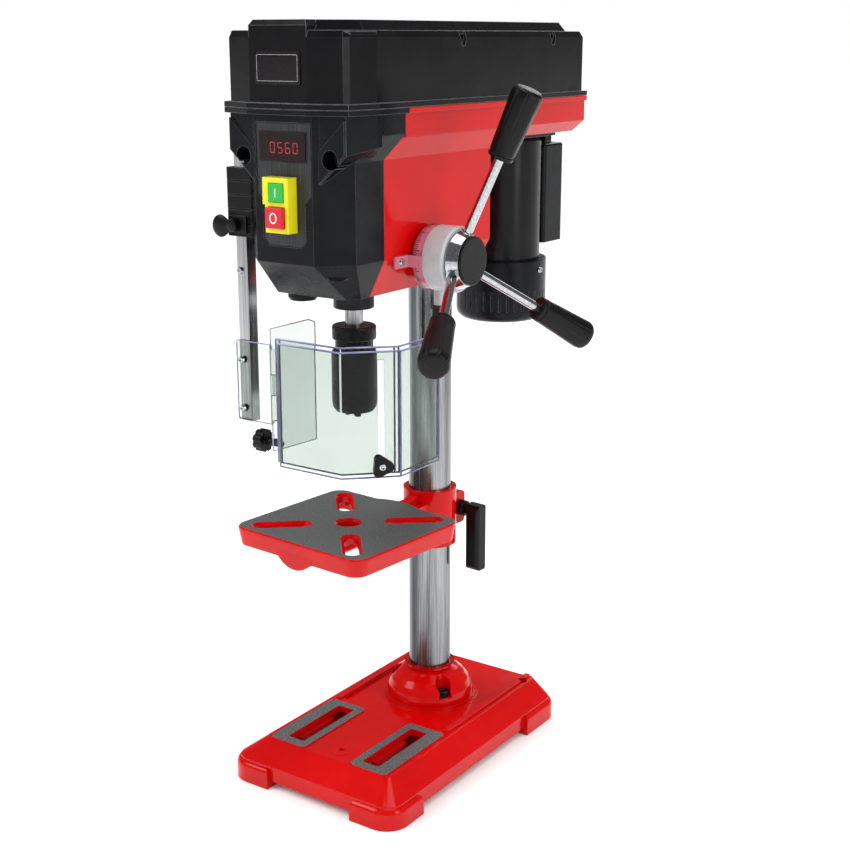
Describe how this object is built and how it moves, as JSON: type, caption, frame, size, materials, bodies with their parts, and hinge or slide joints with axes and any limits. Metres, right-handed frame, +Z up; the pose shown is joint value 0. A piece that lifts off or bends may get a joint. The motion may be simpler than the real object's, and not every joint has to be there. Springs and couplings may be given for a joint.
{
  "type": "drill press",
  "caption": "Bench drill press with a column stand, tilting work table, belt-driven quill head, three-lever feed, keyless chuck and clear chip guard.",
  "frame": {"origin": "column axis at the bench plane, under the base", "axes": "+Z up the column, -Y towards the operator, +X to the operator's right"},
  "size_m": [0.3004, 0.492, 0.808],
  "materials": {
    "red_enamel": "gloss",
    "black_enamel": "satin",
    "cover_plastic": "gloss",
    "black_shell": "satin",
    "black_knob": "satin",
    "panel_black": "satin",
    "drawn_steel": "satin",
    "dark_steel": "satin",
    "chrome": "polished",
    "light_grey": "satin",
    "pulley_alloy": "satin",
    "belt_rubber": "matte",
    "clear_guard": "polished",
    "clear_red": "gloss",
    "display_black": "gloss",
    "switch_yellow": "gloss",
    "button_green": "gloss",
    "button_red": "gloss",
    "badge_black": "gloss"
  },
  "bodies": {
    "stand": {"base_plate": "red_enamel", "column_flange": "red_enamel", "flange_screws": "dark_steel", "column": "drawn_steel", "head_casting": "red_enamel", "head_lock_screws": "dark_steel", "belt_pan": "red_enamel", "hinge_pins": "drawn_steel", "front_housing": "black_shell", "control_panel": "panel_black", "display_window": "display_black", "switch_body": "switch_yellow", "motor_plate": "dark_steel", "motor_body": "black_enamel", "motor_skirt": "black_shell", "case_screws": "chrome", "control_box": "black_shell", "cable_gland": "black_knob", "drive_belt": "belt_rubber", "depth_pointer": "clear_red", "spring_cap": "black_enamel", "speed_sensor": "light_grey", "work_lamp": "black_knob", "guard_holder": "black_knob"},
    "table_arm": {"table_bracket": "red_enamel", "tilt_bolt": "drawn_steel", "clamp_stud": "drawn_steel"},
    "work_table": {"table": "red_enamel"},
    "column_clamp": {"clamp_lever": "black_knob"},
    "cover": {"belt_cover": "cover_plastic", "badge_plate": "badge_black"},
    "start_push": {"start_button": "button_green"},
    "stop_push": {"stop_button": "button_red"},
    "feed": {"feed_shaft": "drawn_steel", "feed_hub": "chrome", "feed_rods": "chrome", "feed_grips": "black_knob", "hub_cap": "black_knob"},
    "depth_dial": {"depth_scale_ring": "clear_red", "depth_dial_ring": "light_grey"},
    "quill_slide": {"quill": "dark_steel", "quill_bearings": "drawn_steel"},
    "spindle_rotor": {"spindle": "drawn_steel", "chuck_body": "dark_steel"},
    "chuck_ring": {"chuck_sleeve": "dark_steel"},
    "jaw_a": {"chuck_jaw_1": "dark_steel"},
    "jaw_b": {"chuck_jaw_2": "dark_steel"},
    "jaw_c": {"chuck_jaw_3": "dark_steel"},
    "driven_pulley": {"spindle_pulley": "pulley_alloy"},
    "motor_rotor": {"motor_shaft": "drawn_steel", "motor_pulley": "pulley_alloy"},
    "guard_mast": {"guard_post": "drawn_steel", "guard_bracket": "clear_guard", "guard_screws": "chrome", "guard_side_panel": "clear_guard"},
    "guard_front": {"guard_door": "clear_guard"},
    "guard_apron": {"guard_extension": "clear_guard"},
    "apron_knob": {"extension_knob": "black_knob"},
    "mast_knob": {"post_knob": "black_knob"},
    "panel_knob": {"side_knob": "black_knob"}
  },
  "joints": [
    {"name": "table_height", "type": "slide", "parent": "stand", "child": "table_arm", "axis": [0, 0, 1], "range_m": [-0.108, 0.025]},
    {"name": "table_tilt", "type": "hinge", "parent": "table_arm", "child": "work_table", "pos_m": [-0.00477, -0.0568, 0.264], "axis": [0.0837, 0.9965, 0], "range_deg": [-45, 45]},
    {"name": "column_clamp_turn", "type": "hinge", "parent": "table_arm", "child": "column_clamp", "pos_m": [0.03806, 0.03494, 0.265], "axis": [0.9965, -0.0837, 0], "range_deg": [-15, 80]},
    {"name": "cover_hinge", "type": "hinge", "parent": "stand", "child": "cover", "pos_m": [-0.087, 0, 0.7226], "axis": [0, -1, 0], "range_deg": [0, 85]},
    {"name": "start_press", "type": "slide", "parent": "stand", "child": "start_push", "axis": [0, 1, 0], "range_m": [0, 0.0025], "stiffness_N_per_m": 400, "springref_m": -0.001},
    {"name": "stop_press", "type": "slide", "parent": "stand", "child": "stop_push", "axis": [0, 1, 0], "range_m": [0, 0.003], "stiffness_N_per_m": 400, "springref_m": -0.001},
    {"name": "feed_turn", "type": "hinge", "parent": "stand", "child": "feed", "pos_m": [0.111, -0.10025, 0.578], "axis": [1, 0, 0], "range_deg": [0, 152], "stiffness_Nm_per_rad": 0.3, "springref_deg": -171.89},
    {"name": "quill_feed", "type": "slide", "parent": "stand", "child": "quill_slide", "axis": [0, 0, 1], "range_m": [-0.05, 0]},
    {"name": "depth_dial_turn", "type": "hinge", "parent": "feed", "child": "depth_dial", "pos_m": [0.09, -0.10025, 0.578], "axis": [1, 0, 0], "range_deg": [-170, 170]},
    {"name": "motor_spin", "type": "hinge", "parent": "stand", "child": "motor_rotor", "pos_m": [0, 0.149, 0.75], "axis": [0, 0, 1], "continuous": true},
    {"name": "spindle_pulley_spin", "type": "hinge", "parent": "stand", "child": "driven_pulley", "pos_m": [0, -0.1385, 0.75], "axis": [0, 0, 1], "continuous": true},
    {"name": "spindle_spin", "type": "hinge", "parent": "quill_slide", "child": "spindle_rotor", "pos_m": [0, -0.1385, 0.6], "axis": [0, 0, 1], "continuous": true},
    {"name": "chuck_turn", "type": "hinge", "parent": "spindle_rotor", "child": "chuck_ring", "pos_m": [0, -0.1385, 0.45], "axis": [0, 0, 1], "range_deg": [-180, 180]},
    {"name": "jaw_a_slide", "type": "slide", "parent": "spindle_rotor", "child": "jaw_a", "axis": [0, 0.2079, 0.9781], "range_m": [-0.004, 0.008]},
    {"name": "jaw_b_slide", "type": "slide", "parent": "spindle_rotor", "child": "jaw_b", "axis": [-0.1801, -0.104, 0.9781], "range_m": [-0.004, 0.008]},
    {"name": "jaw_c_slide", "type": "slide", "parent": "spindle_rotor", "child": "jaw_c", "axis": [0.1801, -0.104, 0.9781], "range_m": [-0.004, 0.008]},
    {"name": "guard_height", "type": "slide", "parent": "stand", "child": "guard_mast", "axis": [0, 0, 1], "range_m": [-0.03, 0.018]},
    {"name": "mast_knob_turn", "type": "hinge", "parent": "stand", "child": "mast_knob", "pos_m": [-0.084, -0.224, 0.612], "axis": [0, -1, 0], "range_deg": [-80, 80]},
    {"name": "guard_swing", "type": "hinge", "parent": "guard_mast", "child": "guard_front", "pos_m": [-0.0445, -0.2145, 0.45], "axis": [0, 0, -1], "range_deg": [0, 100]},
    {"name": "apron_height", "type": "slide", "parent": "guard_front", "child": "guard_apron", "axis": [0, 0, 1], "range_m": [-0.065, 0]},
    {"name": "apron_knob_turn", "type": "hinge", "parent": "guard_front", "child": "apron_knob", "pos_m": [0.07204, -0.19054, 0.381], "axis": [0.7071, -0.7071, 0], "range_deg": [-180, 180]},
    {"name": "panel_knob_turn", "type": "hinge", "parent": "guard_mast", "child": "panel_knob", "pos_m": [-0.056, -0.2, 0.386], "axis": [-1, 0, 0], "range_deg": [-180, 180]}
  ],
  "couplings": [
    {"joint": "quill_feed", "follows": "feed_turn", "m_per_rad": -0.01875},
    {"joint": "spindle_pulley_spin", "follows": "motor_spin", "ratio": 0.46154},
    {"joint": "spindle_spin", "follows": "motor_spin", "ratio": 0.46154},
    {"joint": "jaw_a_slide", "follows": "chuck_turn", "m_per_rad": 0.0012},
    {"joint": "jaw_b_slide", "follows": "chuck_turn", "m_per_rad": 0.0012},
    {"joint": "jaw_c_slide", "follows": "chuck_turn", "m_per_rad": 0.0012}
  ]
}
